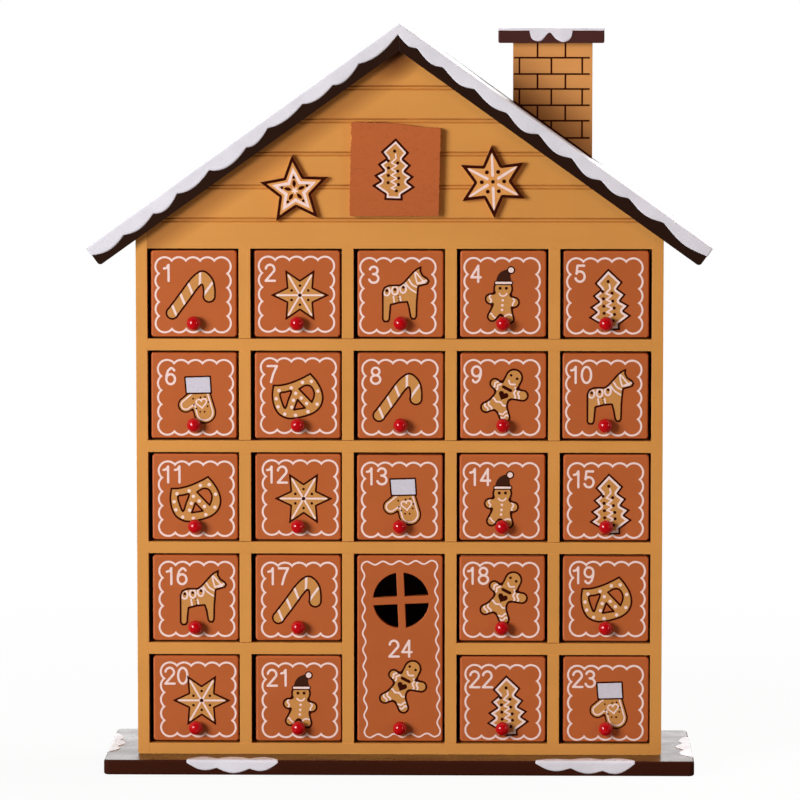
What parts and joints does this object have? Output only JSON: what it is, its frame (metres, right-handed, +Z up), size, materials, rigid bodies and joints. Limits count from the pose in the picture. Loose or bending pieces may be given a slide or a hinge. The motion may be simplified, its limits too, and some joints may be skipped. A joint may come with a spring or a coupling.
{
  "type": "wooden advent calendar",
  "caption": "House-shaped wooden advent calendar: numbered drawers slide in a slat lattice under a boarded gable, pitched roof and chimney, on a base board.",
  "frame": {"origin": "middle of the base board's underside", "axes": "+Z up, -Y out of the front with the drawers, +X to the right as seen from the front"},
  "size_m": [0.331, 0.102, 0.3981],
  "materials": {
    "base_paint": "dark brown gloss paint",
    "ochre_paint": "ochre satin paint",
    "roof_paint": "dark brown satin paint",
    "brick_paint": "ochre satin paint with brick lines",
    "cap_paint": "dark brown satin paint",
    "terracotta_paint": "terracotta satin paint",
    "star_tan": "tan paint with printed icing",
    "knob_red": "red gloss lacquer"
  },
  "bodies": {
    "house": {"base_board": "base_paint", "side_walls": "ochre_paint", "back_panel": "ochre_paint", "gable_front": "ochre_paint", "shelves": "ochre_paint", "dividers": "ochre_paint", "roof_left": "roof_paint", "roof_right": "roof_paint", "chimney_stack": "brick_paint", "chimney_cap": "cap_paint", "gable_plaque": "terracotta_paint", "gable_stars": "star_tan"},
    "drawer_01": {"drawer_01": "terracotta_paint", "knob_01": "knob_red"},
    "drawer_02": {"drawer_02": "terracotta_paint", "knob_02": "knob_red"},
    "drawer_03": {"drawer_03": "terracotta_paint", "knob_03": "knob_red"},
    "drawer_04": {"drawer_04": "terracotta_paint", "knob_04": "knob_red"},
    "drawer_05": {"drawer_05": "terracotta_paint", "knob_05": "knob_red"},
    "drawer_06": {"drawer_06": "terracotta_paint", "knob_06": "knob_red"},
    "drawer_07": {"drawer_07": "terracotta_paint", "knob_07": "knob_red"},
    "drawer_08": {"drawer_08": "terracotta_paint", "knob_08": "knob_red"},
    "drawer_09": {"drawer_09": "terracotta_paint", "knob_09": "knob_red"},
    "drawer_10": {"drawer_10": "terracotta_paint", "knob_10": "knob_red"},
    "drawer_11": {"drawer_11": "terracotta_paint", "knob_11": "knob_red"},
    "drawer_12": {"drawer_12": "terracotta_paint", "knob_12": "knob_red"},
    "drawer_13": {"drawer_13": "terracotta_paint", "knob_13": "knob_red"},
    "drawer_14": {"drawer_14": "terracotta_paint", "knob_14": "knob_red"},
    "drawer_15": {"drawer_15": "terracotta_paint", "knob_15": "knob_red"},
    "drawer_16": {"drawer_16": "terracotta_paint", "knob_16": "knob_red"},
    "drawer_17": {"drawer_17": "terracotta_paint", "knob_17": "knob_red"},
    "drawer_18": {"drawer_18": "terracotta_paint", "knob_18": "knob_red"},
    "drawer_19": {"drawer_19": "terracotta_paint", "knob_19": "knob_red"},
    "drawer_20": {"drawer_20": "terracotta_paint", "knob_20": "knob_red"},
    "drawer_21": {"drawer_21": "terracotta_paint", "knob_21": "knob_red"},
    "drawer_22": {"drawer_22": "terracotta_paint", "knob_22": "knob_red"},
    "drawer_23": {"drawer_23": "terracotta_paint", "knob_23": "knob_red"},
    "drawer_24": {"drawer_24": "terracotta_paint", "knob_24": "knob_red"}
  },
  "joints": [
    {"name": "drawer_01_slide", "type": "slide", "parent": "house", "child": "drawer_01", "axis": [0, -1, 0], "range_m": [0, 0.044]},
    {"name": "drawer_02_slide", "type": "slide", "parent": "house", "child": "drawer_02", "axis": [0, -1, 0], "range_m": [0, 0.044]},
    {"name": "drawer_03_slide", "type": "slide", "parent": "house", "child": "drawer_03", "axis": [0, -1, 0], "range_m": [0, 0.044]},
    {"name": "drawer_04_slide", "type": "slide", "parent": "house", "child": "drawer_04", "axis": [0, -1, 0], "range_m": [0, 0.044]},
    {"name": "drawer_05_slide", "type": "slide", "parent": "house", "child": "drawer_05", "axis": [0, -1, 0], "range_m": [0, 0.044]},
    {"name": "drawer_06_slide", "type": "slide", "parent": "house", "child": "drawer_06", "axis": [0, -1, 0], "range_m": [0, 0.044]},
    {"name": "drawer_07_slide", "type": "slide", "parent": "house", "child": "drawer_07", "axis": [0, -1, 0], "range_m": [0, 0.044]},
    {"name": "drawer_08_slide", "type": "slide", "parent": "house", "child": "drawer_08", "axis": [0, -1, 0], "range_m": [0, 0.044]},
    {"name": "drawer_09_slide", "type": "slide", "parent": "house", "child": "drawer_09", "axis": [0, -1, 0], "range_m": [0, 0.044]},
    {"name": "drawer_10_slide", "type": "slide", "parent": "house", "child": "drawer_10", "axis": [0, -1, 0], "range_m": [0, 0.044]},
    {"name": "drawer_11_slide", "type": "slide", "parent": "house", "child": "drawer_11", "axis": [0, -1, 0], "range_m": [0, 0.044]},
    {"name": "drawer_12_slide", "type": "slide", "parent": "house", "child": "drawer_12", "axis": [0, -1, 0], "range_m": [0, 0.044]},
    {"name": "drawer_13_slide", "type": "slide", "parent": "house", "child": "drawer_13", "axis": [0, -1, 0], "range_m": [0, 0.044]},
    {"name": "drawer_14_slide", "type": "slide", "parent": "house", "child": "drawer_14", "axis": [0, -1, 0], "range_m": [0, 0.044]},
    {"name": "drawer_15_slide", "type": "slide", "parent": "house", "child": "drawer_15", "axis": [0, -1, 0], "range_m": [0, 0.044]},
    {"name": "drawer_16_slide", "type": "slide", "parent": "house", "child": "drawer_16", "axis": [0, -1, 0], "range_m": [0, 0.044]},
    {"name": "drawer_17_slide", "type": "slide", "parent": "house", "child": "drawer_17", "axis": [0, -1, 0], "range_m": [0, 0.044]},
    {"name": "drawer_18_slide", "type": "slide", "parent": "house", "child": "drawer_18", "axis": [0, -1, 0], "range_m": [0, 0.044]},
    {"name": "drawer_19_slide", "type": "slide", "parent": "house", "child": "drawer_19", "axis": [0, -1, 0], "range_m": [0, 0.044]},
    {"name": "drawer_20_slide", "type": "slide", "parent": "house", "child": "drawer_20", "axis": [0, -1, 0], "range_m": [0, 0.044]},
    {"name": "drawer_21_slide", "type": "slide", "parent": "house", "child": "drawer_21", "axis": [0, -1, 0], "range_m": [0, 0.044]},
    {"name": "drawer_22_slide", "type": "slide", "parent": "house", "child": "drawer_22", "axis": [0, -1, 0], "range_m": [0, 0.044]},
    {"name": "drawer_23_slide", "type": "slide", "parent": "house", "child": "drawer_23", "axis": [0, -1, 0], "range_m": [0, 0.044]},
    {"name": "drawer_24_slide", "type": "slide", "parent": "house", "child": "drawer_24", "axis": [0, -1, 0], "range_m": [0, 0.044]}
  ]
}
